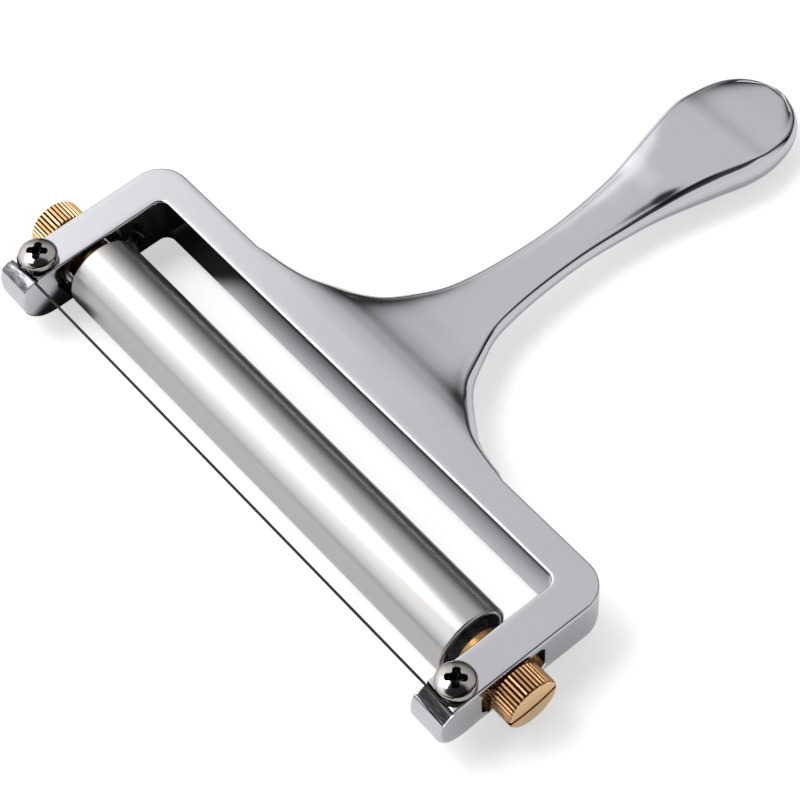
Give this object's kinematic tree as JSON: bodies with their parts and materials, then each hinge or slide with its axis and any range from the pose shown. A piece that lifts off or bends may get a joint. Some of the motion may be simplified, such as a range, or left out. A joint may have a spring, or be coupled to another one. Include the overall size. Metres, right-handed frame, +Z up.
{
  "type": "wire cheese slicer",
  "caption": "Hand-held wire cheese slicer: U-shaped chromed casting with handle, cutting wire between the arm tips and a roller on a slotted axle that sets the slice thickness.",
  "frame": {"origin": "middle of the object's outline seen from above, at the level of the roller's underside, where it stands", "axes": "+Y from the wire to the handle's end, +X to the right arm seen from the handle with the wire away, +Z up"},
  "size_m": [0.129, 0.1344, 0.015],
  "materials": {
    "cast_chrome": "bright chrome plate on a die casting",
    "wire_steel": "drawn stainless wire",
    "nickel_screw": "bright nickel plate",
    "satin_stainless": "satin, turned",
    "bearing_plastic": "moulded, dark",
    "rod_steel": "drawn bar",
    "collar_brass": "turned",
    "knurled_brass": "turned and straight knurled"
  },
  "bodies": {
    "frame": {"cast_frame": "cast_chrome", "cutting_wire": "wire_steel"},
    "left_clamp": {"left_clamp_screw": "nickel_screw"},
    "right_clamp": {"right_clamp_screw": "nickel_screw"},
    "carriage": {"axle_rod": "rod_steel", "left_axle_collar": "collar_brass", "right_axle_collar": "collar_brass"},
    "roller": {"roller_tube": "satin_stainless", "left_roller_plug": "bearing_plastic", "right_roller_plug": "bearing_plastic"},
    "left_thumb": {"left_thumb_screw": "knurled_brass"},
    "right_thumb": {"right_thumb_screw": "knurled_brass"}
  },
  "joints": [
    {"name": "carriage_slide", "type": "slide", "parent": "frame", "child": "carriage", "axis": [0, 1, 0], "range_m": [-0.0031, 0.004]},
    {"name": "roller_spin", "type": "hinge", "parent": "carriage", "child": "roller", "pos_m": [0, -0.05142, 0.00705], "axis": [1, 0, 0], "continuous": true},
    {"name": "left_thumb_turn", "type": "hinge", "parent": "carriage", "child": "left_thumb", "pos_m": [-0.0592, -0.05142, 0.00705], "axis": [-1, 0, 0], "range_deg": [0, 450]},
    {"name": "right_thumb_turn", "type": "hinge", "parent": "carriage", "child": "right_thumb", "pos_m": [0.0592, -0.05142, 0.00705], "axis": [1, 0, 0], "range_deg": [0, 450]},
    {"name": "left_clamp_turn", "type": "hinge", "parent": "frame", "child": "left_clamp", "pos_m": [-0.05565, -0.05995, 0.01295], "axis": [0, 0, 1], "range_deg": [0, 765]},
    {"name": "right_clamp_turn", "type": "hinge", "parent": "frame", "child": "right_clamp", "pos_m": [0.05565, -0.05995, 0.01295], "axis": [0, 0, 1], "range_deg": [0, 765]}
  ]
}
